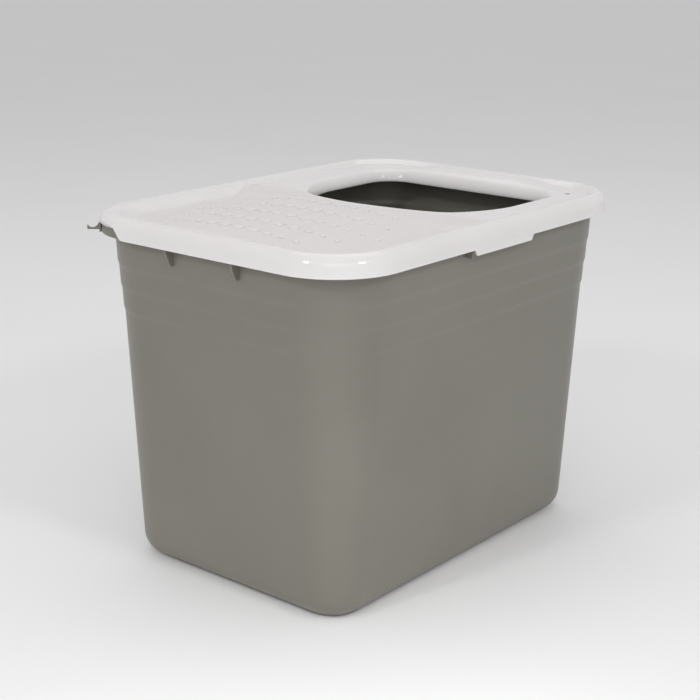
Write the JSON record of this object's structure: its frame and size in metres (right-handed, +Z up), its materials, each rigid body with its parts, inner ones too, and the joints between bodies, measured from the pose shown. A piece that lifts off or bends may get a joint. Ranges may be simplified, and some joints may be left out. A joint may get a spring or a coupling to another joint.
{
  "type": "top entry litter box",
  "caption": "Tall tapered open tub with a lift-off lid: a rounded entry hole in a raised collar, a bumped crowned platform beside it, and a scoop hook on the rim.",
  "frame": {"origin": "middle of the base, on the floor plane", "axes": "+Z up; +X along the length towards the end with the entry hole; +Y across the width towards the long side whose -X corner carries the scoop hook"},
  "size_m": [0.508, 0.3722, 0.384],
  "materials": {
    "tub_plastic": "fine satin, warm grey polypropylene",
    "lid_plastic": "glossy ridge and skirt, finer satin platform, off-white polypropylene"
  },
  "bodies": {
    "tub": {"tub": "tub_plastic"},
    "lid": {"lid": "lid_plastic"}
  },
  "joints": [
    {"name": "lid_lift", "type": "slide", "parent": "tub", "child": "lid", "axis": [0, 0, 1], "range_m": [0, 0.06]}
  ]
}
